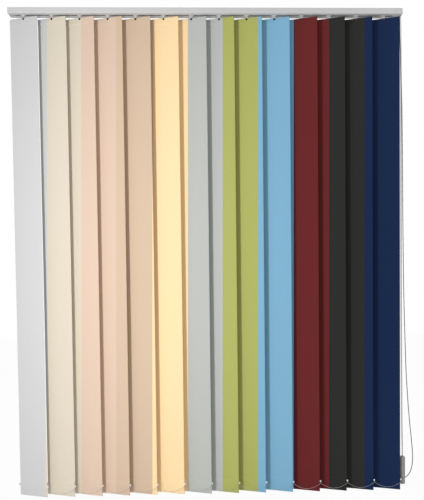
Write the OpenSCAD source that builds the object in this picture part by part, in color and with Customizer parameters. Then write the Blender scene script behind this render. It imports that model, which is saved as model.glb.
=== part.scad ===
// Vertical blind: fourteen fabric vanes hang from carriers in a ceiling-fixed head rail.
// A cord draws the carriers along the rail, and a bead chain turns the rod that tilts the vanes.
// X runs along the rail towards the control end, -Y faces the room and Z is up.
// The origin is on the ceiling, midway between the two fixing screws.

/* [Vanes] */
// Distance between neighbouring vanes when drawn
vane_pitch = 113.5; // [108:0.5:118]
// Width of a vane
vane_width = 127; // [118:1:130]
// Length of a vane from fold to fold
vane_length = 1966; // [1900:1:2100]
// Thickness of the fabric
fabric = 0.5; // [0.3:0.05:0.6]
// Angle between a vane and the rail as hung
rest_tilt = 17; // [12:1:40]
// Height of the top pocket
top_pocket = 28; // [24:1:36]
// Height of the bottom pocket
bottom_pocket = 57; // [54:1:70]
// Space between the two layers of a pocket
pocket_gap = 1.6; // [1.5:0.05:1.8]

/* [Head rail] */
// Rail end to first vane pivot on the idle side
left_room = 56.75; // [54:0.25:70]
// Last vane pivot to rail end on the control side
right_room = 71.75; // [71:0.25:90]
// Depth of the rail, front to back
rail_depth = 46; // [45:0.5:50]
// Height of the rail
rail_height = 24; // [24:0.5:26]
// Wall of the rail
rail_wall = 1.6; // [1.2:0.1:1.8]
// Thickness of the two bottom flanges
flange = 1.8; // [1.4:0.1:2]
// Width of the slot along the underside
slot_width = 14; // [13.5:0.25:15]
// Height of the lip along each side of the slot
lip_height = 1.4; // [0.8:0.1:1.6]
// Radius of the upper edges
top_radius = 1.5; // [0.8:0.1:2]
// Radius of the lower edges
bottom_radius = 3; // [2:0.1:3.5]
// Width of the opening of the fixing channel on top
channel_opening = 14; // [13.5:0.25:15]
// Inner width of the fixing channel
channel_width = 20; // [19:0.25:22]
// Inner depth of the fixing channel
channel_depth = 1.7; // [1.6:0.05:2]
// Thickness of the lips over the fixing channel
channel_lip = 1.3; // [1:0.05:1.5]

/* [Ceiling clips] */
// Distance between the two fixing screws
clip_spacing = 1100; // [600:10:1300]
// Length of a clip along the rail
clip_length = 40; // [36:1:60]
// Width of a clip across the rail
clip_width = 26; // [24:1:30]
// Thickness of a clip
clip_plate = 1.5; // [1:0.1:2.5]
// Diameter of the screw hole
screw_hole = 4.5; // [4:0.1:5]
// Length of each of the two feet in the channel
clip_foot = 8; // [6:0.5:10]

/* [Carriers] */
// Length of a carrier along the rail
carrier_length = 21.4; // [20:0.2:21.6]
// Width of a carrier block
carrier_width = 28; // [27.6:0.2:28.6]
// Length of the neck in the slot
neck_length = 14; // [12:0.5:16]
// Width of the neck in the slot
neck_width = 12; // [11.5:0.1:12.6]
// Radius of a carrier wheel
wheel_radius = 4.2; // [3.8:0.1:4.6]
// Thickness of a carrier wheel
wheel_width = 3.6; // [3:0.1:4]
// Distance between the two wheel axles
wheel_base = 11; // [10:0.2:12]
// Diameter of the wheel axles
axle = 2.4; // [2:0.1:3]
// Thickness of a spacer strip
spacer = 0.4; // [0.2:0.05:0.45]
// Height of a spacer strip
spacer_height = 4.2; // [3.5:0.1:4.4]

/* [Tilt drive] */
// Diameter of the tilt rod
rod = 5.5; // [5:0.1:5.8]
// Distance of the rod behind the pivots
rod_back = 8.6; // [8.4:0.1:9]
// Depth of the rod axis below the top of the rail
rod_drop = 14; // [13.5:0.1:14.5]
// Radius of the chain's centre line on the sprocket
sprocket_radius = 6.2; // [6:0.05:6.4]
// Width of the sprocket
sprocket_width = 7; // [6:0.1:8]
// Diameter of the bead chain
chain = 4.5; // [4:0.1:4.6]

/* [Draw cord] */
// Diameter of the cord
cord = 2; // [1.6:0.1:2.2]
// Distance of the cord in front of the pivots
cord_front = 11; // [10.6:0.05:11.2]
// Depth of the upper strand below the top of the rail
cord_upper = 7.4; // [7.2:0.05:7.6]
// Depth of the lower strand below the top of the rail
cord_lower = 17.6; // [17.4:0.05:17.8]
// Width of a pulley
pulley_width = 4.4; // [4:0.1:5]
// Radius of the cord's turn over the pulley at the control end
turn_radius = 3.8; // [3.6:0.1:4]
// Radius of the lower strand's turn over the guide post
guide_radius = 2.2; // [2:0.1:2.4]
// Diameter of the pulley pins
pin = 3; // [2.5:0.1:3.4]
// Diameter of the cord weight
weight_diameter = 22; // [20:0.5:24]
// Length of the cord weight
weight_length = 118; // [100:1:125]
// Height of the chain eye above the weight's lower end
eye_height = 26; // [20:1:40]

/* [Hooks and hangers] */
// Diameter of a hook's stem
stem = 8; // [7:0.1:8.4]
// Diameter of the wheel on the stem
stem_wheel = 10.4; // [9.6:0.1:10.6]
// Width of the hook at its collar
hook_width = 10.6; // [9:0.2:11]
// Width of the hook at the vane
hook_tip = 7.4; // [7:0.1:8]
// Diameter of the peg that carries the vane
peg = 6.6; // [5.6:0.1:7]
// Diameter of the hole in vane and hanger
vane_hole = 7.5; // [7.2:0.1:8]
// Depth of the hole's centre below the top fold
hole_drop = 4.8; // [4.6:0.1:6]
// Gap between the rail's underside and a vane
vane_gap = 8.8; // [8.4:0.2:14]
// Thickness of hanger and bottom weight
plate = 1.4; // [1:0.1:1.4]
// Height of a hanger
hanger_height = 21; // [16:1:22]
// Height of a bottom weight
ballast_height = 50; // [48:1:51]

/* [Bottom chains] */
// Height of the chain clips above the bottom fold
clip_height = 44; // [40:1:45]
// How far the clips stand out past the vane's edge
clip_reach = 6; // [5:0.5:7]
// Height of a clip's tab
clip_tab = 6; // [5:0.5:7]
// Diameter of a clip's stud
clip_stud = 4.4; // [4:0.1:5]
// How far a clip's stud stands off the vane
stud_length = 4.6; // [4.4:0.1:5]
// Sag of the chain between two vanes
chain_sag = 28; // [15:1:32]
// Diameter of the bottom chain
link = 2.2; // [1.6:0.1:2.4]

/* [Hidden] */
$fn = 64;
vane_count = 14;
lanes = 7;
lane_pitch = 0.7;
running = 0.1;
free_gap = 0.6;
seat = 0.1;
cap_plate = 4;
cap_edge = 2;
control_length = 34;
housing_wall = 1.8;
rail_length = left_room + (vane_count - 1) * vane_pitch + right_room;
rail_left = -rail_length / 2;
rail_right = rail_length / 2;
control_left = rail_right - control_length;
rail_top = -clip_plate;
rail_bottom = rail_top - rail_height;
floor_z = rail_bottom + flange;
channel_floor = rail_top - channel_lip - channel_depth;
block_top = channel_floor - rail_wall - free_gap;
block_bottom = floor_z + lip_height + free_gap;
neck_bottom = rail_bottom - 1;
rod_z = rail_top - rod_drop;
upper_z = rail_top - cord_upper;
lower_z = rail_top - cord_lower;
pulley_z = (upper_z + lower_z) / 2;
pulley_radius = (upper_z - lower_z) / 2;
cord_y = -cord_front;
idle_x = rail_left + cap_plate + pulley_radius + cord + 2;
strand_x = rail_right - housing_wall - 2.2;
turn_x = strand_x - turn_radius;
turn_z = upper_z - turn_radius;
inner_x = strand_x - 3.8;
guide_x = inner_x - guide_radius;
guide_z = lower_z - guide_radius;
sprocket_x = rail_right - housing_wall - sprocket_width / 2 - 0.4;
chamber_floor = rail_top - 15.8;
chamber_height = 4.2;
vane_top = rail_bottom - vane_gap;
vane_bottom = vane_top - vane_length;
pocket = pocket_gap + 2 * fabric;
hole_z = vane_top - hole_drop;
peg_z = hole_z + (vane_hole - peg) / 2 - seat;
clip_z = vane_bottom + clip_height;
ballast_width = vane_width - 8;
stud_u = vane_width / 2 + clip_reach - clip_stud / 2;
weight_x = rail_right + 4.5;
weight_bottom = -1981;
weight_top = weight_bottom + weight_length;
eye_z = weight_bottom + eye_height;
eye_radius = chain / 2 + 1.2;

function pivot_x(k) = rail_left + left_room + (k - 1) * vane_pitch;
function arc(c, r, from, to, n = 6) =
    [for (i = [0:n]) c + r * [cos(from + (to - from) * i / n), sin(from + (to - from) * i / n)]];
function unit(v) = v / norm(v);

// Rings of a round tube along a path; the side vector is never along the path.
side = [1, 1, 0.4];
function tangent(p, i) = unit(p[min(i + 1, len(p) - 1)] - p[max(i - 1, 0)]);
function ring(c, t, r, sides) =
    let (a = unit(cross(t, side)), b = cross(t, a))
    [for (j = [0:sides - 1]) c + r * (a * cos(360 * j / sides) + b * sin(360 * j / sides))];

module tube(path, d, sides = 8) {
    n = len(path);
    rings = [for (i = [0:n - 1]) each ring(path[i], tangent(path, i), d / 2, sides)];
    walls = [for (i = [0:n - 2], j = [0:sides - 1])
        let (k = (j + 1) % sides, a = i * sides, b = (i + 1) * sides)
        each [[a + j, a + k, b + k], [a + j, b + k, b + j]]];
    first = [for (j = [0:sides - 1]) sides - 1 - j];
    last = [for (j = [0:sides - 1]) (n - 1) * sides + j];
    polyhedron(points = rings, faces = concat([first], walls, [last]), convexity = 6);
}

// Places a profile drawn in Y and Z and runs it along X.
module along_x(from, to) {
    translate([from, 0, 0]) rotate([90, 0, 90]) linear_extrude(to - from) children();
}

module bar_x(from, to, y, z, d) {
    translate([from, y, z]) rotate([0, 90, 0]) cylinder(d = d, h = to - from);
}

module bar_y(x, from, to, z, d) {
    translate([x, from, z]) rotate([-90, 0, 0]) cylinder(d = d, h = to - from);
}

module box(x, y, z) {
    translate([x[0], y[0], z[0]]) cube([x[1] - x[0], y[1] - y[0], z[1] - z[0]]);
}

module at_pivot(k) {
    translate([pivot_x(k), 0, 0]) children();
}

module at_vane(k) {
    at_pivot(k) rotate([0, 0, -rest_tilt]) children();
}

// The section that rail and end pieces share, inset by d.
module section(d = 0) {
    w = rail_depth / 2 - d;
    top = rail_top - d;
    bottom = rail_bottom + d;
    rt = max(top_radius - d, 0.2);
    rb = max(bottom_radius - d, 0.2);
    polygon(concat(
        arc([w - rt, top - rt], rt, 0, 90),
        arc([-w + rt, top - rt], rt, 90, 180),
        arc([-w + rb, bottom + rb], rb, 180, 270),
        arc([w - rb, bottom + rb], rb, 270, 360)));
}

// The hollow extrusion, with a fixing channel on top and a slot with two lips below.
module rail_profile() {
    inner = rail_depth / 2 - rail_wall;
    shelf = channel_width / 2 + rail_wall;
    deck = channel_floor - rail_wall;
    half_slot = slot_width / 2;
    half_open = channel_opening / 2;
    half_channel = channel_width / 2;
    difference() {
        section();
        translate([-inner, floor_z]) square([2 * inner, deck - floor_z]);
        for (s = [-1, 1])
            translate([s < 0 ? -inner : shelf, deck - 1])
                square([inner - shelf, rail_top - rail_wall - deck + 1]);
        translate([-half_slot, rail_bottom - 1]) square([slot_width, flange + 2]);
        translate([-half_open, rail_top - channel_lip - 1]) square([channel_opening, channel_lip + 2]);
        translate([-half_channel, channel_floor]) square([channel_width, channel_depth]);
    }
    for (s = [-1, 1])
        translate([s < 0 ? -half_slot - rail_wall : half_slot, floor_z - 0.5])
            square([rail_wall, lip_height + 0.5]);
}

module head_rail() {
    color("silver") along_x(rail_left + cap_plate, control_left) rail_profile();
}

// An end plate with a stepped, softened rim.
module end_plate(x, dir) {
    inner = x - dir * (cap_plate - cap_edge);
    along_x(min(inner, x - dir * cap_plate), max(inner, x - dir * cap_plate)) section();
    along_x(min(x - dir * cap_edge / 2, inner), max(x - dir * cap_edge / 2, inner)) section(0.5);
    along_x(min(x, x - dir * cap_edge / 2), max(x, x - dir * cap_edge / 2)) section(1.2);
}

// A wall of the cap's plug, kept a clearance inside the rail.
module plug_wall(from, to, y0, y1) {
    box([from, to], [y0, y1], [block_bottom, block_top]);
}

module idle_end_cap() {
    inner = rail_depth / 2 - rail_wall - seat;
    plug_end = idle_x + pulley_radius + 3;
    root = rail_left + cap_plate - 0.5;
    color("silver") difference() {
        union() {
            end_plate(rail_left, -1);
            plug_wall(root, plug_end, -inner, cord_y - pulley_width / 2 - running);
            plug_wall(root, plug_end, cord_y + pulley_width / 2 + running, -4);
            plug_wall(root, plug_end, rod_back - rod, rod_back + rod);
            bar_y(idle_x, -inner + 1, -4.5, pulley_z, pin);
        }
        bar_x(rail_left + cap_plate - 1, plug_end + 1, rod_back, rod_z, rod + 2 * running);
    }
}

module control_housing() {
    inner = rail_depth / 2 - housing_wall;
    plug_end = control_left - 10;
    wall_left = control_left + housing_wall;
    partition = cord_y + pulley_width / 2 + running;
    color("silver") difference() {
        union() {
            difference() {
                union() {
                    along_x(control_left, rail_right - cap_edge) section();
                    along_x(rail_right - cap_edge, rail_right - cap_edge / 2) section(0.5);
                    along_x(rail_right - cap_edge / 2, rail_right) section(1.2);
                }
                box([wall_left, rail_right - housing_wall], [-inner, inner],
                    [rail_bottom + housing_wall, rail_top - housing_wall]);
            }
            for (s = [-1, 1])
                box([plug_end, control_left + 0.5],
                    s < 0 ? [-inner + 0.5, -inner + 3] : [inner - 3, inner - 0.5],
                    [block_bottom, block_top]);
            box([wall_left - 0.5, rail_right - housing_wall + 0.5], [partition, partition + housing_wall],
                [rail_bottom + 0.5, rail_top - 0.5]);
            bar_y(turn_x, -inner - 0.5, partition + 0.5, turn_z, pin);
            bar_y(guide_x, -inner - 0.5, partition + 0.5, guide_z, 2 * (guide_radius - running) - cord);
        }
        bar_x(control_left - 1, wall_left + 1, rod_back, rod_z, rod + 2 * running);
        bar_x(rail_right - housing_wall - 0.1, rail_right - 0.6, rod_back, rod_z, rod + 2 * running);
        for (z = [upper_z, lower_z])
            bar_x(control_left - 1, wall_left + 1, cord_y, z, cord + 2);
        for (x = [strand_x, inner_x])
            translate([x, cord_y, rail_bottom - 1]) cylinder(d = cord + 1.4, h = housing_wall + 2);
        for (y = [rod_back - sprocket_radius, rod_back + sprocket_radius])
            translate([sprocket_x, y, rail_bottom - 1]) cylinder(d = chain + 1.4, h = housing_wall + 2);
    }
}

// A clip sits on the rail's top and its two feet reach under the lips of the fixing channel.
module ceiling_clip() {
    foot_top = rail_top - channel_lip - seat;
    foot_x = clip_length / 2 - clip_foot;
    difference() {
        box([-clip_length / 2, clip_length / 2], [-clip_width / 2, clip_width / 2], [-clip_plate, 0]);
        translate([0, 0, -clip_plate - 1]) cylinder(d = screw_hole, h = clip_plate + 2);
    }
    for (x = [-clip_length / 2, foot_x]) {
        box([x, x + clip_foot], [-channel_opening / 2 + 0.5, channel_opening / 2 - 0.5],
            [foot_top - 1, -clip_plate + 0.2]);
        box([x, x + clip_foot], [-channel_width / 2 + 0.5, channel_width / 2 - 0.5],
            [channel_floor + 0.4, foot_top]);
    }
}

module ceiling_clips() {
    color("gainsboro") for (s = [-1, 1]) translate([s * clip_spacing / 2, 0, 0]) ceiling_clip();
}

// A round rod with three driving grooves along its whole length.
module tilt_rod() {
    color("lightgrey") difference() {
        bar_x(rail_left + cap_plate - 0.5, rail_right - 1, rod_back, rod_z, rod);
        for (a = [30, 150, 270])
            bar_x(rail_left + cap_plate + 20, sprocket_x - sprocket_width, rod_back + rod / 2 * cos(a),
                rod_z + rod / 2 * sin(a), 1.2);
    }
}

// The chain runs in an open groove between two flanges.
module chain_sprocket() {
    color("white") translate([sprocket_x, rod_back, rod_z]) rotate([0, 90, 0]) rotate_extrude()
        groove_section(sprocket_radius, rod + 0.04, sprocket_radius + 0.8, sprocket_width, chain + 4 * running);
}

// A wheel with an open round-bottomed groove, drawn as the half section to revolve.
module groove_section(r, bore, rim, width, d) {
    difference() {
        translate([bore / 2, -width / 2]) square([rim - bore / 2, width]);
        translate([r, 0]) circle(d = d);
        translate([r, -d / 2]) square([rim, d]);
    }
}

module pulley(x, z, r) {
    color("white") translate([x, cord_y, z]) rotate([-90, 0, 0]) rotate_extrude()
        groove_section(r, pin + 0.1, r + 0.9, pulley_width, cord + 2 * running);
}

module idle_pulley() {
    pulley(idle_x, pulley_z, pulley_radius);
}

module cord_pulley() {
    pulley(turn_x, turn_z, turn_radius);
}

// A bend of the cord in the X-Z plane, from one angle through a sweep.
module cord_bend(x, z, r, from, sweep) {
    translate([x, cord_y, z]) rotate([90, 0, 0]) rotate([0, 0, from])
        rotate_extrude(angle = sweep) translate([r, 0]) circle(d = cord);
}

module rail_cord() {
    end_z = rail_bottom - 0.4;
    color("whitesmoke") {
        cord_bend(idle_x, pulley_z, pulley_radius, 90, 180);
        bar_x(idle_x, turn_x, cord_y, upper_z, cord);
        bar_x(idle_x, guide_x, cord_y, lower_z, cord);
        cord_bend(turn_x, turn_z, turn_radius, 0, 90);
        cord_bend(guide_x, guide_z, guide_radius, 0, 90);
        translate([strand_x, cord_y, end_z]) cylinder(d = cord, h = turn_z - end_z);
        translate([inner_x, cord_y, end_z]) cylinder(d = cord, h = guide_z - end_z);
    }
}

// The two hanging strands, from the outlets down into the weight's top.
module draw_cord() {
    top = rail_bottom - 0.5;
    well = weight_top - 20;
    color("whitesmoke") {
        tube([[strand_x, cord_y, top], [strand_x + 1, cord_y, -120], [800, -10, -350], [801, -8, -800],
            [802, -6, -1250], [804, -4, -1550], [806, -2, -1750], [weight_x + 1.5, 0, -1840],
            [weight_x + 1.5, 0, well]], cord);
        tube([[inner_x, cord_y, top], [inner_x + 1, cord_y, -120], [797, -10, -350], [798, -8, -800],
            [799, -6, -1250], [801, -4, -1550], [803, -2, -1750], [weight_x - 1.5, 0, -1840],
            [weight_x - 1.5, 0, well]], cord);
    }
}

// One endless loop: over the sprocket, down both sides and through the weight's eye.
module tilt_chain() {
    r = sprocket_radius;
    over = [for (a = [0:20:180]) [sprocket_x, rod_back + r * cos(a), rod_z + r * sin(a)]];
    front = [[sprocket_x, rod_back - r, rail_bottom], [sprocket_x + 1, 2, -60], [802, 2, -200], [806, 1, -380],
        [808, 0, -600], [810, 0, -900], [813, 0, -1150], [818, 0, -1350], [823, 0, -1500],
        [830, 0, -1620], [838, 0, -1720], [846, 0, -1800], [850, 0, -1850], [850, 0, -1885],
        [845, 0, -1918], [836, 0, -1939], [826, 0, -1950]];
    eye = [[weight_x + 13, 0, eye_z], [weight_x - 11, 0, eye_z], [weight_x - 13.5, 0, eye_z + 3],
        [weight_x - 14.5, 1, eye_z + 8]];
    rear = [[792, 2, -1900], [792, 5, -1840], [794, 8, -1750], [796, 11, -1500], [797, 13, -1000],
        [797, 14, -500], [sprocket_x, rod_back + r, -60], [sprocket_x, rod_back + r, rail_bottom]];
    color("gainsboro") tube(concat(over, front, eye, rear, [over[0] - [0, 0, 0.2]]), chain);
}

// A turned body with a domed top, a cord well and a cross eye near its foot.
module cord_weight() {
    r = weight_diameter / 2;
    dome = 7;
    foot = 2;
    color("darkgrey") translate([weight_x, 0, 0]) difference() {
        translate([0, 0, weight_bottom]) rotate_extrude() polygon(concat([[0, 0], [r - foot, 0]],
            [[r, foot], [r, weight_length - dome]],
            [for (a = [15:15:75]) [r - dome + dome * cos(a), weight_length - dome + dome * sin(a)]],
            [[r - dome, weight_length], [0, weight_length]]));
        translate([0, 0, weight_top - 20]) cylinder(d = 3 + cord + 1, h = 21);
        bar_x(-r - 1, r + 1, 0, eye_z, 2 * eye_radius);
        translate([0, 0, weight_bottom - 1]) cylinder(d = 6, h = 10);
    }
}

// A wheeled block on the rail's flanges, with bores for rod and cord and a pocket for the stem.
// Its spacer strip reaches back towards the carrier before it, each in a lane of its own.
module carrier(k) {
    half = carrier_length / 2;
    side_y = carrier_width / 2;
    wheel_z = floor_z + wheel_radius + 0.05;
    strip_top = rail_top - 10.4;
    slot_top = strip_top + free_gap;
    slot_bottom = strip_top - spacer_height - free_gap;
    lane_0 = cord_y + (lanes - 1) / 2 * lane_pitch;
    lane_y = lane_0 - (k % lanes) * lane_pitch;
    color("white") at_pivot(k) {
        difference() {
            union() {
                box([-half, half], [-side_y, side_y], [block_bottom, block_top]);
                box([-neck_length / 2, neck_length / 2], [-neck_width / 2, neck_width / 2],
                    [neck_bottom, block_bottom + 1]);
            }
            bar_x(-half - 1, half + 1, rod_back, rod_z, rod + 1);
            for (z = [upper_z, lower_z])
                bar_x(-half - 1, half + 1, cord_y, z, cord + 1.4);
            box([-half - 1, half + 1], [lane_0 - (lanes - 1) * lane_pitch - 0.4, lane_0 + 0.4],
                [slot_bottom, slot_top]);
            translate([0, 0, chamber_floor]) cylinder(d = stem_wheel + 0.6, h = chamber_height);
            translate([0, 0, neck_bottom - 1]) cylinder(d = stem + 0.2, h = chamber_floor - neck_bottom + 2);
        }
        for (s = [-1, 1], x = [-wheel_base / 2, wheel_base / 2]) {
            bar_y(x, s < 0 ? -side_y - 0.6 : side_y - 1, s < 0 ? -side_y + 1 : side_y + 0.6, wheel_z, axle);
            bar_y(x, s < 0 ? -side_y - 0.6 - wheel_width : side_y + 0.6,
                s < 0 ? -side_y - 0.6 : side_y + 0.6 + wheel_width, wheel_z, 2 * wheel_radius);
        }
        if (k > 1) {
            box([-vane_pitch - half, half - 2], [lane_y - spacer / 2, lane_y + spacer / 2],
                [strip_top - spacer_height, strip_top]);
            box([-4, 4], [lane_y - spacer / 2, lane_y + spacer / 2], [strip_top - 0.5, slot_top + 0.4]);
        }
    }
}

// The stem turns in its carrier; below the collar a tapered blade steps behind the vane to the peg.
module hook() {
    tongue_front = pocket / 2 + seat;
    tongue_back = tongue_front + 0.9;
    blade_top = neck_bottom - 1.8;
    blade_bottom = vane_top + 0.5;
    tip = hook_tip / 2;
    translate([0, 0, chamber_floor + running]) cylinder(d = stem_wheel, h = chamber_height - 0.5);
    translate([0, 0, blade_top + 0.5]) cylinder(d = stem, h = chamber_floor - blade_top + 1);
    translate([0, 0, blade_top]) cylinder(d = hook_width + 1.6, h = 1.5);
    translate([0, tongue_back, 0]) rotate([90, 0, 0]) linear_extrude(tongue_back + 1.1)
        polygon([[-hook_width / 2, blade_top + 0.7], [-tip, blade_bottom], [tip, blade_bottom],
            [hook_width / 2, blade_top + 0.7]]);
    translate([0, tongue_back, 0]) rotate([90, 0, 0]) linear_extrude(tongue_back - tongue_front)
        polygon(concat([[tip, blade_bottom + 0.4], [-tip, blade_bottom + 0.4]], arc([0, peg_z], tip, 180, 360, 8)));
    bar_y(0, -pocket / 2 - 0.3, tongue_back - 0.2, peg_z, peg);
}

// A flat hanger with sloping shoulders in the top pocket.
module hanger() {
    half = vane_width / 2 - 4;
    top = vane_top - fabric - seat;
    shoulder = 10;
    difference() {
        translate([0, plate / 2, 0]) rotate([90, 0, 0]) linear_extrude(plate)
            polygon([[-half, top], [half, top], [half, top - shoulder], [20, top - hanger_height],
                [-20, top - hanger_height], [-half, top - shoulder]]);
        bar_y(0, -2, 2, hole_z, vane_hole);
    }
}

// The weight in the bottom pocket; each end has a tab with a stud, in front on one side and behind on the other.
module ballast() {
    bottom = vane_bottom + fabric + seat;
    half = ballast_width / 2;
    reach = vane_width / 2 + clip_reach;
    box([-half, half], [-plate / 2, plate / 2], [bottom, bottom + ballast_height]);
    for (s = [-1, 1]) {
        box(s < 0 ? [-reach, -half + 1] : [half - 1, reach], [-plate / 2, plate / 2],
            [clip_z - clip_tab / 2, clip_z + clip_tab / 2]);
        bar_y(s * stud_u, s < 0 ? 0 : -stud_length, s < 0 ? stud_length : 0, clip_z, clip_stud);
    }
}

module hook_set(k) {
    color("white") at_vane(k) {
        hook();
        hanger();
        ballast();
    }
}

// One strip of fabric with a welded pocket at each end.
module vane(k) {
    color("lightgrey") at_vane(k) difference() {
        translate([-vane_width / 2, 0, 0]) rotate([90, 0, 90]) linear_extrude(vane_width) {
            translate([-fabric / 2, vane_bottom + bottom_pocket - 1])
                square([fabric, vane_length - bottom_pocket - top_pocket + 2]);
            difference() {
                translate([-pocket / 2, vane_top - top_pocket]) square([pocket, top_pocket]);
                translate([-pocket_gap / 2, vane_top - top_pocket + 2]) square([pocket_gap, top_pocket - 2 - fabric]);
            }
            difference() {
                translate([-pocket / 2, vane_bottom]) square([pocket, bottom_pocket]);
                translate([-pocket_gap / 2, vane_bottom + fabric]) square([pocket_gap, bottom_pocket - 2 - fabric]);
            }
        }
        bar_y(0, -3, 3, hole_z, vane_hole);
    }
}

// One span of bottom chain between the studs of two neighbouring vanes.
module chain_span(k, s) {
    u = s * stud_u;
    n = -s * (stud_length + plate / 2) / 2 - s * 0.4;
    x = pivot_x(k) + u * cos(rest_tilt) + n * sin(rest_tilt);
    y = -u * sin(rest_tilt) + n * cos(rest_tilt);
    end_gap = clip_stud / 2 + link / 2 + running;
    from = x + end_gap;
    length = vane_pitch - 2 * end_gap;
    tube([for (i = [0:10]) let (t = i / 10)
        [from + t * length, y, clip_z - chain_sag * (1 - pow(2 * t - 1, 2))]], link, 6);
}

module front_chain() {
    color("white") for (k = [1:vane_count - 1]) chain_span(k, 1);
}

module rear_chain() {
    color("white") for (k = [1:vane_count - 1]) chain_span(k, -1);
}

head_rail();
idle_end_cap();
control_housing();
ceiling_clips();
tilt_rod();
chain_sprocket();
idle_pulley();
cord_pulley();
rail_cord();
draw_cord();
tilt_chain();
cord_weight();
front_chain();
rear_chain();
carrier(1);  // carrier_01
carrier(2);  // carrier_02
carrier(3);  // carrier_03
carrier(4);  // carrier_04
carrier(5);  // carrier_05
carrier(6);  // carrier_06
carrier(7);  // carrier_07
carrier(8);  // carrier_08
carrier(9);  // carrier_09
carrier(10);  // carrier_10
carrier(11);  // carrier_11
carrier(12);  // carrier_12
carrier(13);  // carrier_13
carrier(14);  // carrier_14
hook_set(1);  // hook_set_01
hook_set(2);  // hook_set_02
hook_set(3);  // hook_set_03
hook_set(4);  // hook_set_04
hook_set(5);  // hook_set_05
hook_set(6);  // hook_set_06
hook_set(7);  // hook_set_07
hook_set(8);  // hook_set_08
hook_set(9);  // hook_set_09
hook_set(10);  // hook_set_10
hook_set(11);  // hook_set_11
hook_set(12);  // hook_set_12
hook_set(13);  // hook_set_13
hook_set(14);  // hook_set_14
vane(1);  // vane_01
vane(2);  // vane_02
vane(3);  // vane_03
vane(4);  // vane_04
vane(5);  // vane_05
vane(6);  // vane_06
vane(7);  // vane_07
vane(8);  // vane_08
vane(9);  // vane_09
vane(10);  // vane_10
vane(11);  // vane_11
vane(12);  // vane_12
vane(13);  // vane_13
vane(14);  // vane_14
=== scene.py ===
"""The looks of a ceiling-fixed vertical blind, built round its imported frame. Lengths are in metres."""

import math

import bpy
import numpy as np
from mathutils import Matrix


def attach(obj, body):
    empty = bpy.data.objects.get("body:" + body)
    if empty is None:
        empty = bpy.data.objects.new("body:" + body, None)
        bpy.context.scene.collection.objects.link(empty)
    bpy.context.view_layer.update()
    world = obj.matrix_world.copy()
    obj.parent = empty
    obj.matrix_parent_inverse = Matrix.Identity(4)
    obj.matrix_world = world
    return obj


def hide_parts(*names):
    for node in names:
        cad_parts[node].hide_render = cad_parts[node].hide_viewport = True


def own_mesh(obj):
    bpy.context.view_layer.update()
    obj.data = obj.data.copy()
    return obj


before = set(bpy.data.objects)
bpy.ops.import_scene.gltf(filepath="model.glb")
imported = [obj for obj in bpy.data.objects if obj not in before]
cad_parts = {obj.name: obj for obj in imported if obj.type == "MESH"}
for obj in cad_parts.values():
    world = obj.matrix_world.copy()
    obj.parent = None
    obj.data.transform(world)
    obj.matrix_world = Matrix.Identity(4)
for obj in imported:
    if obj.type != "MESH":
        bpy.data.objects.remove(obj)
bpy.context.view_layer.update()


# Head rail
# An aluminium extrusion, powder coated pale grey, with a slot along its underside for the hooks.
# It is drawn in CAD, so only its coat is made here: a fine orange peel, with faint lines along the rail.
class Wire:
    """A node's output in a material. Sums and products of wires and numbers add Math nodes."""

    def __init__(self, tree, socket=None):
        self.tree = tree
        self.socket = socket

    def node(self, kind, settings=None, sockets=None, out=0):
        """A new node: its settings are set first, then its sockets get their values or links."""
        made = self.tree.nodes.new("ShaderNode" + kind)
        for key, value in (settings or {}).items():
            if key == "stops":
                bands = made.color_ramp.elements
                while len(bands) < len(value):
                    bands.new(1.0)
                for band, (place, colour) in zip(bands, value):
                    band.position = place
                    band.color = colour
            elif key == "steps":
                made.color_ramp.interpolation = value
            else:
                setattr(made, key, value)
        for key, value in (sockets or {}).items():
            if isinstance(value, Wire):
                self.tree.links.new(value.socket, made.inputs[key])
            else:
                made.inputs[key].default_value = value
        return Wire(self.tree, made.outputs[out])

    def output(self, key):
        """Another output of this wire's node."""
        return Wire(self.tree, self.socket.node.outputs[key])

    def math(self, operation, first, second=0.0):
        """One Math node on wires or numbers."""
        return self.node("Math", {"operation": operation}, {0: first, 1: second})

    def __add__(self, other):
        return self.math("ADD", self, other)

    __radd__ = __add__

    def __sub__(self, other):
        return self.math("SUBTRACT", self, other)

    def __rsub__(self, other):
        return self.math("SUBTRACT", other, self)

    def __mul__(self, other):
        return self.math("MULTIPLY", self, other)

    __rmul__ = __mul__

    def __truediv__(self, other):
        return self.math("DIVIDE", self, other)

    def sine(self):
        return self.math("SINE", self)

    def blend(self, low, high):
        """The colour that is low where this wire is 0 and high where it is 1."""
        return self.node("Mix", {"data_type": "RGBA"}, {0: self, 6: low, 7: high}, 2)

    def noise(self, place, scale, detail=2.0):
        """Clouds of 0 to 1, with scale of them to the unit."""
        sockets = {"Vector": place, "Scale": scale, "Detail": detail}
        return self.node("TexNoise", {}, sockets, "Fac")

    def stretched(self, place, stretch):
        """A place scaled by one number for each axis."""
        return self.node("Mapping", {}, {"Vector": place, "Scale": stretch})

    def relief(self, height, strength, depth):
        """The normal of a surface that rises by depth where height goes from 0 to 1."""
        return self.node("Bump", {}, {"Height": height, "Strength": strength, "Distance": depth})


def linear(red, green, blue):
    """A colour of 0 to 255 as a screen shows it, made linear by the screen standard's curve: a straight
    foot, then a power of 2.4."""
    tone = np.array([red, green, blue]) / 255.0
    lit = np.where(tone <= 0.04045, tone / 12.92, ((tone + 0.055) / 1.055) ** 2.4)
    return (*lit.tolist(), 1.0)


def new_finish(name, **fixed):
    """A material, its shader and a wire to start from; fixed names the shader's plain values."""
    material = bpy.data.materials.new(name)
    material.use_nodes = True
    shader = material.node_tree.nodes["Principled BSDF"]
    for key, value in fixed.items():
        shader.inputs[key.replace("_", " ")].default_value = value
    return material, shader, Wire(material.node_tree)


def feed(shader, socket, wire):
    """Links a wire to a socket of the shader."""
    wire.tree.links.new(wire.socket, shader.inputs[socket])


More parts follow.
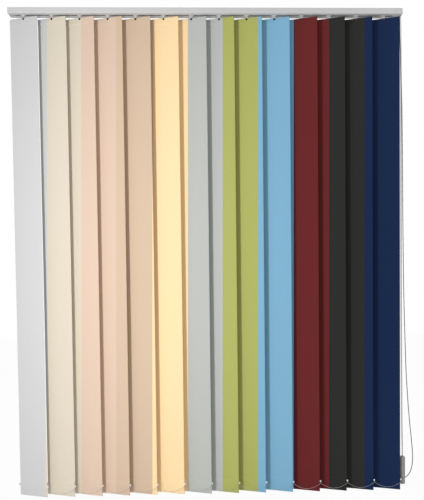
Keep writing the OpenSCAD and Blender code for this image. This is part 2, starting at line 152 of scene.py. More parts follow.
def coat(material, *names):
    """Gives a material to the CAD nodes of those names."""
    for name in names:
        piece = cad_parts[name]
        piece.data.materials.clear()
        piece.data.materials.append(material)


RAIL_DARK = linear(196, 196, 197)
RAIL_LIGHT = linear(210, 210, 210)
RAIL_DRAW_LINES = (3.0, 700.0, 700.0)
PEEL_SCALE = 620.0
PEEL_DEPTH = 0.00006
rail_coat, rail_shader, rail_wire = new_finish("rail_powder_coat", IOR=1.47)
rail_place = rail_wire.node("TexCoord", out="Object")
rail_lines = rail_wire.noise(rail_wire.stretched(rail_place, RAIL_DRAW_LINES), 1.0, 3.0)
rail_peel = rail_wire.noise(rail_place, PEEL_SCALE)
feed(rail_shader, "Base Color", rail_lines.blend(RAIL_DARK, RAIL_LIGHT))
feed(rail_shader, "Roughness", 0.36 + 0.14 * rail_peel)
feed(rail_shader, "Normal", rail_wire.relief(rail_peel, 0.25, PEEL_DEPTH))
coat(rail_coat, "head_rail")

# End pieces
# The idle end cap and the control housing, moulded in a grey that matches the rail, plug into its ends.
# The housing holds the pulley, the sprocket and the outlets for cord and chain.
MOULD_CLOUDS = 38.0
MOULD_GRAIN = 1400.0
GRAIN_DEPTH = 0.00004
GLOSS_SPREAD = 0.12


def moulded(name, dark, light, rough, grain=MOULD_GRAIN, depth=GRAIN_DEPTH, beyond=()):
    """Moulded plastic: two close tones in slow clouds, a fine spark-eroded grain and a patchy gloss.

    Each entry of beyond is an axis, a place on it and two other tones, for all that lies past the place.
    """
    material, shader, wire = new_finish(name, IOR=1.49)
    place = wire.node("TexCoord", out="Object")
    cloud = wire.noise(place, MOULD_CLOUDS, 3.0)
    fine = wire.noise(place, grain, 1.0)
    colour = cloud.blend(dark, light)
    for axis, limit, tones in beyond:
        side = wire.node("SeparateXYZ", {}, {0: place}, axis)
        colour = wire.math("GREATER_THAN", side, limit).blend(colour, cloud.blend(*tones))
    feed(shader, "Base Color", colour)
    feed(shader, "Roughness", rough - GLOSS_SPREAD / 2 + GLOSS_SPREAD * cloud)
    feed(shader, "Normal", wire.relief(fine, 0.35, depth))
    return material


cap_plastic = moulded("end_cap_plastic", linear(194, 194, 194), linear(208, 208, 208), 0.46)
coat(cap_plastic, "idle_end_cap", "control_housing")

# Ceiling clips
# Two pressed steel clips, zinc plated and screwed to the ceiling.
# Their feet hold the rail by its top channel.
ZINC_DARK = linear(186, 190, 194)
ZINC_LIGHT = linear(214, 216, 218)
SPANGLES = 160.0
zinc, zinc_shader, zinc_wire = new_finish("zinc_plate", Metallic=1.0)
zinc_place = zinc_wire.node("TexCoord", out="Object")
spangle = zinc_wire.node("TexVoronoi", {"feature": "F1"}, {"Vector": zinc_place, "Scale": SPANGLES},
                         "Color")
spangle_grey = zinc_wire.node("RGBToBW", {}, {"Color": spangle})
feed(zinc_shader, "Base Color", spangle_grey.blend(ZINC_DARK, ZINC_LIGHT))
feed(zinc_shader, "Roughness", 0.28 + 0.16 * spangle_grey)
coat(zinc, "ceiling_clips")

# Tilt rod
# A drawn aluminium rod with three grooves; it turns every hook's worm at once.
ROD_DARK = linear(176, 178, 180)
ROD_LIGHT = linear(212, 213, 214)
ROD_DRAW_LINES = (6.0, 1500.0, 1500.0)
rod_metal, rod_shader, rod_wire = new_finish("drawn_aluminium", Metallic=1.0)
rod_place = rod_wire.node("TexCoord", out="Object")
rod_lines = rod_wire.noise(rod_wire.stretched(rod_place, ROD_DRAW_LINES), 1.0, 3.0)
feed(rod_shader, "Base Color", rod_lines.blend(ROD_DARK, ROD_LIGHT))
feed(rod_shader, "Roughness", 0.26 + 0.2 * rod_lines)
coat(rod_metal, "tilt_rod")

# Carriers, sprocket and pulleys
# Running parts moulded in white acetal, a little creamier and glossier than the hooks.
acetal = moulded("white_acetal", linear(226, 225, 220), linear(238, 237, 233), 0.34, 900.0, 0.00002)
carrier_names = [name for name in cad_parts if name.startswith("carrier_")]
coat(acetal, "chain_sprocket", "idle_pulley", "cord_pulley", *carrier_names)

# Hooks, hangers and bottom weights
# Moulded for each vane: a pale grey hook that turns in its carrier, a hanger in the top pocket and a white
# weight in the lower one, whose tabs carry the studs of the bottom chains. The rear tabs and studs are
# white too; their grey is painted shade, for they stand in the shadow of the vane.
# Behind this depth the tabs and studs get a dark grey: painted shade from the vane in front of them.
SHADED_REAR_DEPTH = 0.0186
HALF_WAY = -1.0
hook_finish_with_rear_shade = moulded("hook_plastic", linear(232, 232, 231), linear(243, 243, 242), 0.4, beyond=(
    (1, SHADED_REAR_DEPTH, (linear(86, 86, 86), linear(102, 102, 102))),
    (2, HALF_WAY, (linear(192, 192, 192), linear(206, 206, 206))),
))
hook_names = sorted(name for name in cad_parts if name.startswith("hook_set_"))
coat(hook_finish_with_rear_shade, *hook_names)

# Vanes
# Fourteen strips of woven polyester, 127 mm wide, folded over at both ends and welded into pockets.
# Eleven upright colour fields run across the whole set, so most vanes show two of them.
VANE_COUNT = len(hook_names)
VANE_PITCH = 0.1135
FIRST_PIVOT = -0.74525
VANE_WIDTH = 0.127
VANE_TOP = -0.0343
VANE_FOOT = -2.0003
VANE_TURN = math.radians(-17.0)
TOP_POCKET = 0.028
FOOT_POCKET = 0.057
POCKET_HALF = 0.00105
CLOTH = 0.0005
WELD = 0.003
SHOULDER = 0.005
FLAP_GAP = 0.00002
CUPPING = 0.0009
SWAY = 0.5
SWAY_STEP = 1.7
ACROSS_STEPS = 15
FOLD_STEPS = 9
EASE_STEPS = 6
TOP_STEPS = 6
FOOT_STEPS = 8
DROP_STEPS = 60

FIELDS = [
    linear(205, 205, 206),
    linear(218, 208, 190),
    linear(220, 195, 175),
    linear(211, 187, 162),
    linear(252, 222, 174),
    linear(187, 190, 187),
    linear(177, 181, 103),
    linear(131, 182, 212),
    linear(109, 41, 42),
    linear(47, 47, 46),
    linear(26, 44, 80),
]
FIELD_START = -0.3939
FIELD_SPAN = 0.7073
FIELD_ALONG = 0.9996
FIELD_LEAN = 0.011
FIELD_SHIFT = 0.0807
FIELD_REACH = 2.2530
REACH_ALONG = 0.028
REACH_DROP = 0.032
THREAD_PITCH = 0.0011
SLUBS = (60.0, 900.0, 1.0)
WEAVE_DEPTH = 0.00012


def vane_cloth():
    """Woven polyester in upright colour fields.

    A field's number comes from how far across the set a point is. The measure is x, with a little of z,
    over a reach that grows slowly with x and with the drop, so the edges of the fields fan out downwards.
    The weave is the product of two sines along the cloth's own width and length, with slubs in the weft.
    """
    material, shader, wire = new_finish("vane_cloth", IOR=1.4, Specular_IOR_Level=0.15)
    x = wire.node("SeparateXYZ", {}, {0: wire.node("TexCoord", out="Object")})
    z = x.output(2)
    reach = FIELD_REACH + REACH_ALONG * x - REACH_DROP * z
    across = (FIELD_ALONG * x - FIELD_LEAN * z - FIELD_SHIFT) / reach
    share = (across - FIELD_START) / FIELD_SPAN
    stops = [(i / len(FIELDS), colour) for i, colour in enumerate(FIELDS)]
    field = wire.node("ValToRGB", {"steps": "CONSTANT", "stops": stops}, {"Fac": share})
    cloth = wire.node("UVMap")
    weft = wire.node("SeparateXYZ", {}, {0: cloth})
    warp = weft.output(1)
    thread = 2 * math.pi / THREAD_PITCH
    weave = (weft * thread).sine() * (warp * thread).sine()
    slub = wire.noise(wire.stretched(cloth, SLUBS), 1.0)
    tone = 0.94 + 0.07 * slub + 0.02 * weave
    grey = wire.node("CombineColor", {}, {0: tone, 1: tone, 2: tone})
    multiply = {"data_type": "RGBA", "blend_type": "MULTIPLY"}
    shade = wire.node("Mix", multiply, {0: 1.0, 6: field, 7: grey}, 2)
    feed(shader, "Base Color", shade)
    feed(shader, "Roughness", 0.78 + 0.12 * slub)
    feed(shader, "Normal", wire.relief(weave + slub, 0.2, WEAVE_DEPTH))
    return material


def strip_path():
    """The strip seen from its edge: depth and height along its length.

    It runs from the rear flap of the top pocket up over the fold, down the front, along the drop, round
    the lower fold and up to the rear flap there. Folds are half circles, and shoulders ease in by a cubic.
    """
    fold = np.linspace(0.0, math.pi, FOLD_STEPS)
    flap = CLOTH + FLAP_GAP
    weld_top = VANE_TOP - TOP_POCKET
    weld_foot = VANE_FOOT + FOOT_POCKET
    fold_top = VANE_TOP - POCKET_HALF - CLOTH / 2
    fold_foot = VANE_FOOT + POCKET_HALF + CLOTH / 2
    ease = np.linspace(0.0, 1.0, EASE_STEPS)
    rise = ease * ease * (3 - 2 * ease)
    up = np.linspace(weld_top + SHOULDER, fold_top, TOP_STEPS)[1:-1]
    low = np.linspace(weld_foot - SHOULDER, fold_foot, FOOT_STEPS)[1:-1]
    drop = np.linspace(weld_top - WELD, weld_foot + WELD, DROP_STEPS)
    depth = [
        [flap],
        flap + (POCKET_HALF - flap) * rise,
        np.full(up.size, POCKET_HALF),
        POCKET_HALF * np.cos(fold),
        np.full(up.size, -POCKET_HALF),
        -POCKET_HALF * rise[::-1],
        np.zeros(drop.size),
        -POCKET_HALF * rise,
        np.full(low.size, -POCKET_HALF),
        -POCKET_HALF * np.cos(fold),
        np.full(low.size, POCKET_HALF),
        flap + (POCKET_HALF - flap) * rise[::-1],
        [flap],
    ]
    height = [
        [weld_top - WELD],
        weld_top + SHOULDER * ease,
        up,
        fold_top + POCKET_HALF * np.sin(fold),
        up[::-1],
        weld_top + SHOULDER * ease[::-1],
        drop,
        weld_foot - SHOULDER * ease,
        low,
        fold_foot - POCKET_HALF * np.sin(fold),
        low[::-1],
        weld_foot - SHOULDER * ease[::-1],
        [weld_foot + WELD],
    ]
    return np.concatenate(depth), np.concatenate(height)


def grid_mesh(name, points, material, uv, ring=False):
    """A mesh from a grid of points, rows by columns, with one face between each four neighbours.

    Ring closes each row on itself and caps both ends.
    """
    rows, columns = points.shape[:2]
    last = columns if ring else columns - 1
    i, j = np.meshgrid(np.arange(rows - 1), np.arange(last), indexing="ij")
    k = (j + 1) % columns
    this_row = i * columns
    next_row = this_row + columns
    quads = np.stack([this_row + j, this_row + k, next_row + k, next_row + j], axis=-1)
    mesh = bpy.data.meshes.new(name)
    faces = quads.reshape(-1, 4).tolist()
    if ring:
        faces.append(list(range(columns))[::-1])
        faces.append(list(range((rows - 1) * columns, rows * columns)))
    mesh.from_pydata(points.reshape(-1, 3).tolist(), [], faces)
    layer = mesh.uv_layers.new(name="UVMap")
    corner = np.stack([i, j, i, j + 1, i + 1, j + 1, i + 1, j], axis=-1).reshape(-1, 2)
    spread = uv[corner[:, 0], corner[:, 1]]
    if ring:
        ends = np.repeat(np.array([uv[0, 0], uv[-1, 0]]), columns, axis=0)
        spread = np.concatenate([spread, ends])
    layer.data.foreach_set("uv", spread.astype(np.float32).ravel())
    mesh.polygons.foreach_set("use_smooth", np.ones(len(mesh.polygons), bool))
    mesh.materials.append(material)
    mesh.update()
    piece = bpy.data.objects.new(name, mesh)
    bpy.context.scene.collection.objects.link(piece)
    return piece


def at_vane(number, across, depth, height):
    """Points given across a vane, behind its middle and up: turned about z to the vane's rest angle, then
    moved to its pivot."""
    pivot = FIRST_PIVOT + (number - 1) * VANE_PITCH
    x = pivot + across * math.cos(VANE_TURN) - depth * math.sin(VANE_TURN)
    y = across * math.sin(VANE_TURN) + depth * math.cos(VANE_TURN)
    return np.stack(np.broadcast_arrays(x, y, height), axis=-1)


def vane_strip(number, material):
    """The strip's path carried across its width.

    Between the pockets the cloth cups: the depth gains a sine of the drop times a parabola across the
    width, with a slow sway whose phase differs from vane to vane.
    """
    depth, height = strip_path()
    width = VANE_WIDTH / 2 * np.sin(np.linspace(-math.pi / 2, math.pi / 2, ACROSS_STEPS))
    pocket_foot = VANE_TOP - TOP_POCKET
    drop = np.clip((pocket_foot - height) / (pocket_foot - VANE_FOOT - FOOT_POCKET), 0, 1)
    slack = np.sin(math.pi * drop) * (depth < CLOTH / 2) * (np.abs(depth) < CLOTH / 2)
    bow = 2 * (width / VANE_WIDTH * 2) ** 2 - 1
    sway = SWAY * np.sin(2 * math.pi * drop + SWAY_STEP * number)
    lift = CUPPING * slack[:, None] * (bow[None, :] + sway[:, None])
    points = at_vane(number, width[None, :], depth[:, None] + lift, height[:, None])
    run = np.concatenate([[0.0], np.cumsum(np.hypot(np.diff(depth), np.diff(height)))])
    uv = np.stack(np.broadcast_arrays(width[None, :] + VANE_WIDTH / 2, run[:, None]), axis=-1)
    piece = grid_mesh(f"vane_strip_{number:02d}", points, material, uv)
    wall = piece.modifiers.new("cloth", "SOLIDIFY")
    wall.thickness = CLOTH
    wall.offset = 0.0
    return piece, float(run[-1])


# Eyelets
# A dark button eyelet closes round each hook's peg at the top of its vane.
# Its near-black colour is painted shade, standing for the shadow in the hanger's hole there.
EYELET_DROP = 0.0048
EYELET_SIDES = 24
EYELET_PROFILE = np.array([
    [0.0002, -0.0001],
    [0.0046, 0.00000],
    [0.0044, 0.00050],
    [0.0037, 0.00096],
    [0.0027, 0.00112],
    [0.0019, 0.00100],
    [0.0012, 0.00066],
    [0.0002, 0.00062],
])


def eyelet(number, material):
    """The profile, of radius and rise, turned round the peg's axis on the front of the top pocket."""
    turn = np.linspace(0.0, 2 * math.pi, EYELET_SIDES, endpoint=False)
    radius = EYELET_PROFILE[:, 0][:, None]
    front = -POCKET_HALF - CLOTH / 2
    across = radius * np.cos(turn)[None, :]
    height = VANE_TOP - EYELET_DROP + radius * np.sin(turn)[None, :]
    depth = front - EYELET_PROFILE[:, 1][:, None] + 0 * across
    points = at_vane(number, across, depth, height)
    share = np.linspace(0.0, 1.0, turn.size + 1)[None, :]
    uv = np.stack(np.broadcast_arrays(share, radius), axis=-1)
    return grid_mesh(f"eyelet_{number:02d}", points, material, uv, ring=True)


cloth_finish = vane_cloth()
# The button's near-black colour is painted shade for the hole under it.
eyelet_shade_finish = moulded("eyelet_painted_shade", linear(16, 15, 15), linear(28, 26, 25), 0.5)
for number in range(1, VANE_COUNT + 1):
    body = f"vane_set_{number:02d}"
    strip, strip_length = vane_strip(number, cloth_finish)
    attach(strip, body)
    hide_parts(f"vane_{number:02d}")
    button = eyelet(number, eyelet_shade_finish)
    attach(button, body)

# Draw cord
# A twisted polyester cord, 2 mm thick, of three plies: two lengths of it leave the control housing
# and hang down into the cord weight. The cord inside the rail is CAD and takes the same finish.
CORD = 0.002
CORD_LAY = 0.009
CORD_STEP = 0.0018
CORD_SIDES = 12
PLIES = 3
PLY_SWELL = 0.08
NAP = 2600.0
OUTER_ROUTE = np.array([
    [0.798, -0.011, -0.024], [0.799, -0.011, -0.12], [0.8, -0.01, -0.35], [0.801, -0.008, -0.8],
    [0.802, -0.006, -1.25], [0.804, -0.004, -1.55], [0.806, -0.002, -1.75], [0.808, 0.0, -1.84],
    [0.808, 0.0, -1.882],
])
INNER_ROUTE = np.array([
    [0.7942, -0.011, -0.024], [0.7952, -0.011, -0.12], [0.797, -0.01, -0.35], [0.798, -0.008, -0.8],
    [0.799, -0.006, -1.25], [0.801, -0.004, -1.55], [0.803, -0.002, -1.75], [0.805, 0.0, -1.84],
    [0.805, 0.0, -1.882],
])
NO_CORD_RUNS = np.array([1.0, 1.0, 0.4]) / math.sqrt(2.16)
CUBIC_STEPS = 4000


def smooth_route(points, step):
    """A cubic through the points, spaced evenly by step.

    Its slope at each point is that between the point's neighbours.
    """
    chord = np.concatenate([[0.0], np.cumsum(np.linalg.norm(np.diff(points, axis=0), axis=1))])
    slope = np.gradient(points, chord, axis=0)
    fine = np.linspace(0.0, chord[-1], CUBIC_STEPS)
    i = np.clip(np.searchsorted(chord, fine, side="right") - 1, 0, len(points) - 2)
    gap = (chord[i + 1] - chord[i])[:, None]
    t = ((fine - chord[i]) / gap[:, 0])[:, None]
    curve = ((2 * t ** 3 - 3 * t ** 2 + 1) * points[i] + (t ** 3 - 2 * t ** 2 + t) * gap * slope[i]
             + (3 * t ** 2 - 2 * t ** 3) * points[i + 1] + (t ** 3 - t ** 2) * gap * slope[i + 1])
    run = np.concatenate([[0.0], np.cumsum(np.linalg.norm(np.diff(curve, axis=0), axis=1))])
    even = np.linspace(0.0, run[-1], max(2, round(run[-1] / step) + 1))
    return np.stack([np.interp(even, run, curve[:, axis]) for axis in range(3)], axis=1)


def route_at(route, run):
    """The points of a route at those distances along it."""
    along = np.concatenate([[0.0], np.cumsum(np.linalg.norm(np.diff(route, axis=0), axis=1))])
    return np.stack([np.interp(run, along, route[:, axis]) for axis in range(3)], axis=1)


def round_tube(centre, radius, sides):
    """Rings round a centre line, each square to it; radius has one number for each ring and side.

    A ring starts square to a direction in which no cord or chain runs.
    """
    ahead = np.gradient(centre, axis=0)
    ahead /= np.linalg.norm(ahead, axis=1)[:, None]
    first = np.cross(ahead, NO_CORD_RUNS)
    first /= np.linalg.norm(first, axis=1)[:, None]
    second = np.cross(ahead, first)
    turn = np.linspace(0.0, 2 * math.pi, sides, endpoint=False)
    ring = first[:, None] * np.cos(turn)[None, :, None] + second[:, None] * np.sin(turn)[None, :, None]
    return centre[:, None] + ring * radius[:, :, None]


def tube_uv(run, sides):
    """How far round and how far along each ring's points are."""
    share = np.linspace(0.0, 1.0, sides + 1)[None, :]
    return np.stack(np.broadcast_arrays(share, run[:, None]), axis=-1)


def length_of(route):
    """The sum of the distances from point to point."""
    return float(np.linalg.norm(np.diff(route, axis=0), axis=1).sum())


# The dark tone serves both the nap and the painted shade in the cord's furrows.
FIBRE_DARK_AND_FURROW_SHADE = linear(118, 118, 117)
FIBRE_LIGHT = linear(176, 176, 174)


def cord_finish():
    """Grey twisted fibre, fine nap; a sine round it, turned with the lay, paints shade in the furrows."""
    material, shader, wire = new_finish("cord_fibre", IOR=1.45, Sheen_Weight=0.2)
    across = wire.node("SeparateXYZ", {}, {0: wire.node("UVMap")})
    along = across.output(1)
    turn = across * (2 * math.pi * PLIES) - along * (2 * math.pi / CORD_LAY) + math.pi / 2
    # Painted shade: furrow is low between the plies, where the colour goes to the dark tone.
    furrow = 0.5 + 0.5 * turn.sine()
    nap = wire.noise(wire.node("TexCoord", out="Object"), NAP)
    feed(shader, "Base Color", (0.75 * furrow + 0.25 * nap).blend(FIBRE_DARK_AND_FURROW_SHADE, FIBRE_LIGHT))
    feed(shader, "Roughness", 0.7 + 0.15 * nap)
    feed(shader, "Normal", wire.relief(nap, 0.3, 0.00008))
    return material


def twisted_cord(name, route, material):
    """A tube whose radius swells once for each ply on its way round, and turns with the lay."""
    centre = smooth_route(route, CORD_STEP)
    run = np.linspace(0.0, length_of(centre), len(centre))
    turn = np.linspace(0.0, 2 * math.pi, CORD_SIDES, endpoint=False)
    swell = np.cos(PLIES * turn[None, :] - 2 * math.pi * run[:, None] / CORD_LAY)
    radius = CORD / 2 * (1 - PLY_SWELL + PLY_SWELL * swell)
    rings = round_tube(centre, radius, CORD_SIDES)
    return grid_mesh(name, rings, material, tube_uv(run, CORD_SIDES), ring=True), centre


def rail_cord_finish():
    """The same fibre for the rail's runs: a sine of x, depth and height gives slanting bands of painted
    shade.
    """
    material, shader, wire = new_finish("rail_cord_fibre", IOR=1.45, Sheen_Weight=0.2)
    place = wire.node("TexCoord", out="Object")
    along = wire.node("SeparateXYZ", {}, {0: place})
    slant = (along.output(1) + along.output(2)) * (math.pi / CORD)
    # Low values of band are painted shade, for the furrows between the plies.
    band = 0.5 + 0.5 * (along * (2 * math.pi * PLIES / CORD_LAY) + slant).sine()
    nap = wire.noise(place, NAP)
    feed(shader, "Base Color", (0.75 * band + 0.25 * nap).blend(FIBRE_DARK_AND_FURROW_SHADE, FIBRE_LIGHT))
    feed(shader, "Roughness", 0.7 + 0.15 * nap)
    feed(shader, "Normal", wire.relief(band + 0.3 * nap, 0.3, 0.00012))
    return material


fibre = cord_finish()
coat(rail_cord_finish(), "rail_cord")
outer_strand, outer_line = twisted_cord("draw_cord_outer", OUTER_ROUTE, fibre)
inner_strand, inner_line = twisted_cord("draw_cord_inner", INNER_ROUTE, fibre)
for strand, line, far_end, on_it in (
    (outer_strand, outer_line, "fitting", [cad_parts["cord_weight"]]),
    (inner_strand, inner_line, "object", []),
):
    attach(strand, "rail")
    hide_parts("draw_cord")

# Cord weight
# A turned grey plastic weight on the draw cord; the tilt chain passes through the eye near its foot.
weight_plastic = moulded("weight_plastic", linear(141, 141, 140), linear(160, 160, 159), 0.42, 1100.0)
coat(weight_plastic, "cord_weight")

# Tilt chain
# An endless bead chain: 4.5 mm plastic beads, 4.9 mm apart, on a thin cord.
# It runs over the sprocket, down the outside of the weight, through its eye and up behind.
CHAIN = 0.0045
CHAIN_PITCH = 0.0049
CHAIN_THREAD = 0.0007
CHAIN_STEP = 0.002
CHAIN_SIDES = 8
BEAD_RINGS = 7
WRAP_STEPS = 60
WRAP_TAIL = np.array([0.0, 0.0, 0.0078])
SPROCKET = np.array([0.7963, 0.0086, -0.0155])
SPROCKET_RADIUS = 0.0062
OUTLET = -0.0235
CHAIN_ROUTE = np.array([
    [0.7963, 0.0024, OUTLET], [0.7973, 0.002, -0.06], [0.802, 0.002, -0.2], [0.806, 0.001, -0.38],
    [0.808, 0.0, -0.6], [0.81, 0.0, -0.9], [0.813, 0.0, -1.15], [0.818, 0.0, -1.35], [0.823, 0.0, -1.5],
    [0.83, 0.0, -1.62], [0.838, 0.0, -1.72], [0.846, 0.0, -1.8], [0.85, 0.0, -1.85], [0.85, 0.0, -1.885],
    [0.845, 0.0, -1.918], [0.836, 0.0, -1.939], [0.826, 0.0, -1.95], [0.8195, 0.0, -1.955],
    [0.7955, 0.0, -1.955], [0.793, 0.0, -1.952], [0.792, 0.001, -1.947], [0.792, 0.002, -1.9],
    [0.792, 0.005, -1.84], [0.794, 0.008, -1.75], [0.796, 0.011, -1.5], [0.797, 0.013, -1.0],
    [0.797, 0.014, -0.5], [0.7963, 0.0148, -0.06], [0.7963, 0.0148, OUTLET],
])


def bead_rings(length, pitch, bead, thread):
    """Distances and radii of rings along a string of beads: circles, cut off at the thread's radius."""
    count = max(1, round(length / pitch))
    spread = length / count
    edge = math.sqrt(bead ** 2 - thread ** 2)
    places = edge * np.sin(np.linspace(-math.pi / 2, math.pi / 2, BEAD_RINGS))
    radii = np.sqrt(np.maximum(bead ** 2 - places ** 2, thread ** 2))
    run = ((np.arange(count) + 0.5)[:, None] * spread + places[None, :]).ravel()
    radius = np.tile(radii, count)
    run = np.concatenate([[0.0], run, [length]])
    radius = np.concatenate([[thread], radius, [thread]])
    return run, radius


def bead_string(route, pitch, bead, thread, sides):
    """Points, UV and centre line of a string of beads: rings of the beads' radii, set along a route."""
    run, radius = bead_rings(length_of(route), pitch, bead, thread)
    centre = route_at(route, run)
    rings = round_tube(centre, np.repeat(radius[:, None], sides, axis=1), sides)
    return rings, tube_uv(run, sides), centre


chain_plastic = moulded("chain_plastic", linear(58, 59, 60), linear(76, 77, 78), 0.48, 900.0, 0.00002)
chain_beads = (CHAIN_PITCH, CHAIN / 2, CHAIN_THREAD, CHAIN_SIDES)
chain_route = smooth_route(CHAIN_ROUTE, CHAIN_STEP)
chain_points, chain_uv, chain_line = bead_string(chain_route, *chain_beads)
tilt_chain = grid_mesh("tilt_chain_loop", chain_points, chain_plastic, chain_uv, ring=True)
over = np.radians(np.linspace(0.0, 180.0, WRAP_STEPS))
wrap_arc = SPROCKET + SPROCKET_RADIUS * np.stack([0 * over, np.cos(over), np.sin(over)], axis=1)
wrap_route = np.concatenate([wrap_arc[:1] - WRAP_TAIL, wrap_arc, wrap_arc[-1:] - WRAP_TAIL])
wrap_points, wrap_uv, _ = bead_string(wrap_route, *chain_beads)
chain_wrap = grid_mesh("tilt_chain_wrap", wrap_points, chain_plastic, wrap_uv, ring=True)
for piece in (tilt_chain, chain_wrap):
    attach(piece, "rail")
    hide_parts("tilt_chain")

# Bottom chains
# Fine grey bead chains that keep the vanes at even distances: a front one on the studs at the right edges,
# and a rear one on the studs at the left edges. Each span sags between two vanes.
LINK = 0.0022
LINK_PITCH = 0.0034
LINK_THREAD = 0.0004
LINK_SIDES = 6
STUD_ACROSS = 0.0673
STUD_DEPTH = 0.00265
STUD_HEIGHT = -1.9563
STUD_CLEAR = 0.0004
SPAN_GAP = 0.0013
CHAIN_SAG = 0.028
UNDER_STUD = 0.0034
UNDER_TAB = 0.0049
BOW = 0.0045
BOWED = 0.0090
SPAN_POINTS = 15
SPAN_STEP = 0.0008


def chain_span(edge):
    """One span from under a stud to under the next, as a smooth route.

    It goes down past the tab and out by the bow, which keeps it clear of the vanes at every tilt, along a
    parabola in x, and the same way back.
    """
    share = np.linspace(0.0, 1.0, SPAN_POINTS)
    along = 3 * SPAN_GAP + share * (VANE_PITCH - 6 * SPAN_GAP)
    sag = BOWED + (CHAIN_SAG - BOWED) * (1 - (2 * share - 1) ** 2)
    half_way = (UNDER_TAB + BOWED) / 2
    start_x = np.array([SPAN_GAP, SPAN_GAP, 1.5 * SPAN_GAP])
    start_bow = np.array([0.0, 0.0, 0.6 * BOW])
    start_sag = np.array([UNDER_STUD, UNDER_TAB, half_way])
    x = np.concatenate([start_x, along, VANE_PITCH - start_x[::-1]])
    bow = np.concatenate([start_bow, np.full(share.size, BOW), start_bow[::-1]])
    drop = np.concatenate([start_sag, sag, start_sag[::-1]])
    return smooth_route(np.stack([x, -edge * bow, -drop], axis=1), SPAN_STEP)


def bottom_chain(name, edge, material):
    """Thirteen strings of beads, each on its own span between the studs of two vanes."""
    depth = -edge * (STUD_DEPTH + STUD_CLEAR)
    route = chain_span(edge)
    spans = []
    for number in range(1, VANE_COUNT):
        stud = at_vane(number, edge * STUD_ACROSS, depth, STUD_HEIGHT)
        rings, uv, _ = bead_string(stud + route, LINK_PITCH, LINK / 2, LINK_THREAD, LINK_SIDES)
        spans.append(grid_mesh(f"{name}_{number}", rings, material, uv, ring=True))
    chain = spans[0]
    with bpy.context.temp_override(active_object=chain, selected_editable_objects=spans):
        bpy.ops.object.join()
    chain.name = name
    return chain, at_vane(VANE_COUNT, edge * STUD_ACROSS, depth, STUD_HEIGHT)


link_plastic = moulded("link_plastic", linear(150, 151, 152), linear(170, 170, 170), 0.3, 900.0, 0.00001)
for name, edge, node, body in (
    ("front_bead_chain", 1, "front_chain", "front_links"),
    ("rear_bead_chain", -1, "rear_chain", "rear_links"),
):
    chain, last_stud = bottom_chain(name, edge, link_plastic)
    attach(chain, body)
    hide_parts(node)
    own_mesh(chain)

# Room
# A pale floor under the vanes, an even pale room and a tall lamp at the left, which throws each vane's edge
# as a narrow shadow on its neighbour. Two small lamps even out the rail's far end and the cord weight.
FLOOR = VANE_FOOT - 0.05
FLOOR_HALF = 6.0
FLOOR_GLOW = 0.96
WHITE = (1.0, 1.0, 1.0, 1.0)
floor_corners = [(x * FLOOR_HALF, y * FLOOR_HALF, FLOOR) for x, y in ((-1, -1), (1, -1), (1, 1), (-1, 1))]
floor_mesh = bpy.data.meshes.new("floor")
floor_mesh.from_pydata(floor_corners, [], [(0, 1, 2, 3)])
floor = bpy.data.objects.new("floor", floor_mesh)
bpy.context.scene.collection.objects.link(floor)
floor_paint, floor_shader, floor_wire = new_finish("floor_paint", Roughness=0.8)
floor_shader.inputs["Base Color"].default_value = (0.8, 0.8, 0.8, 1.0)
floor_seen = floor_wire.node("LightPath", out="Is Camera Ray")
floor_glow = floor_wire.node("Emission", {}, {"Color": WHITE, "Strength": 1.0})
floor_lit = Wire(floor_wire.tree, floor_shader.outputs[0])
floor_mixed = floor_wire.node("MixShader", {}, {0: FLOOR_GLOW * floor_seen, 1: floor_lit, 2: floor_glow})
floor_out = floor_wire.tree.nodes["Material Output"]
floor_wire.tree.links.new(floor_mixed.socket, floor_out.inputs["Surface"])
floor_mesh.materials.append(floor_paint)

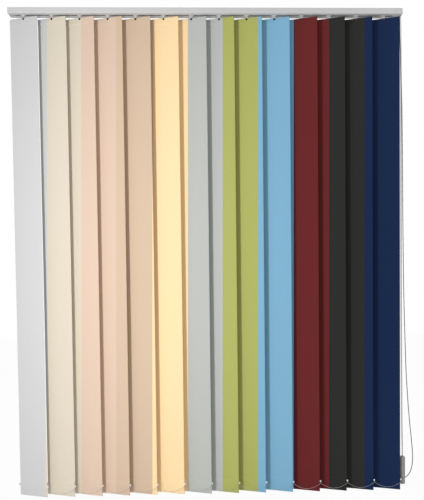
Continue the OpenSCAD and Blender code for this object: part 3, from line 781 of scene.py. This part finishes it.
ROOM_LIGHT = 0.56
room = bpy.data.worlds.new("room")
room.use_nodes = True
bpy.context.scene.world = room
room_wire = Wire(room.node_tree)
ray = room_wire.node("LightPath", out="Is Camera Ray")
seen = ray + ray.output("Is Glossy Ray") + ray.output("Is Transmission Ray")
room_fill = room_wire.node("Background", {}, {"Color": WHITE, "Strength": ROOM_LIGHT})
room_seen = room_wire.node("Background", {}, {"Color": WHITE, "Strength": 1.0})
room_mixed = room_wire.node("MixShader", {}, {0: seen, 1: room_fill, 2: room_seen})
room.node_tree.links.new(room_mixed.socket, room.node_tree.nodes["World Output"].inputs["Surface"])


def upright_lamp(name, place, aim, width, height, energy):
    """A rectangular lamp that stands upright and is turned about z to face the aim."""
    light = bpy.data.lights.new(name, "AREA")
    light.shape = "RECTANGLE"
    light.size = width
    light.size_y = height
    light.energy = energy
    piece = bpy.data.objects.new(name, light)
    bpy.context.scene.collection.objects.link(piece)
    piece.location = place
    piece.rotation_euler = (math.pi / 2, 0.0, math.atan2(place[0] - aim[0], aim[1] - place[1]))


upright_lamp("tall_lamp", place=(-0.82, -1.30, -0.95), aim=(0.1, 0.0), width=0.12, height=2.0, energy=18.0)
upright_lamp("rail_lamp", place=(0.95, -0.70, 0.15), aim=(0.55, 0.0), width=0.3, height=0.3, energy=0.85)
upright_lamp("weight_lamp", place=(0.74, -0.40, -1.86), aim=(0.815, 0.0), width=0.15, height=0.15,
             energy=0.15)

# Camera
# It stands before the middle of the blind, a little above half its height, and looks straight at it.
EYE = (0.0040, -2.2893, -1.0720)
YAW = -0.028
PITCH = -0.032
ROLL = 0.011
FOCUS_PIXELS = 549.94
IMAGE = (424, 500)
AXIS_PIXEL = (226.6, 288.9)
camera = bpy.data.cameras.new("camera")
camera.sensor_width = 36.0
camera.lens = FOCUS_PIXELS * camera.sensor_width / max(IMAGE)
camera.shift_x = (IMAGE[0] / 2 - AXIS_PIXEL[0]) / max(IMAGE)
camera.shift_y = (AXIS_PIXEL[1] - IMAGE[1] / 2) / max(IMAGE)
camera_piece = bpy.data.objects.new("camera", camera)
bpy.context.scene.collection.objects.link(camera_piece)
turned = Matrix.Rotation(YAW, 4, "Z") @ Matrix.Rotation(PITCH, 4, "X") @ Matrix.Rotation(ROLL, 4, "Y")
camera_piece.matrix_world = Matrix.Translation(EYE) @ turned @ Matrix.Rotation(math.pi / 2, 4, "X")
bpy.context.scene.camera = camera_piece
bpy.context.scene.view_settings.view_transform = "Standard"
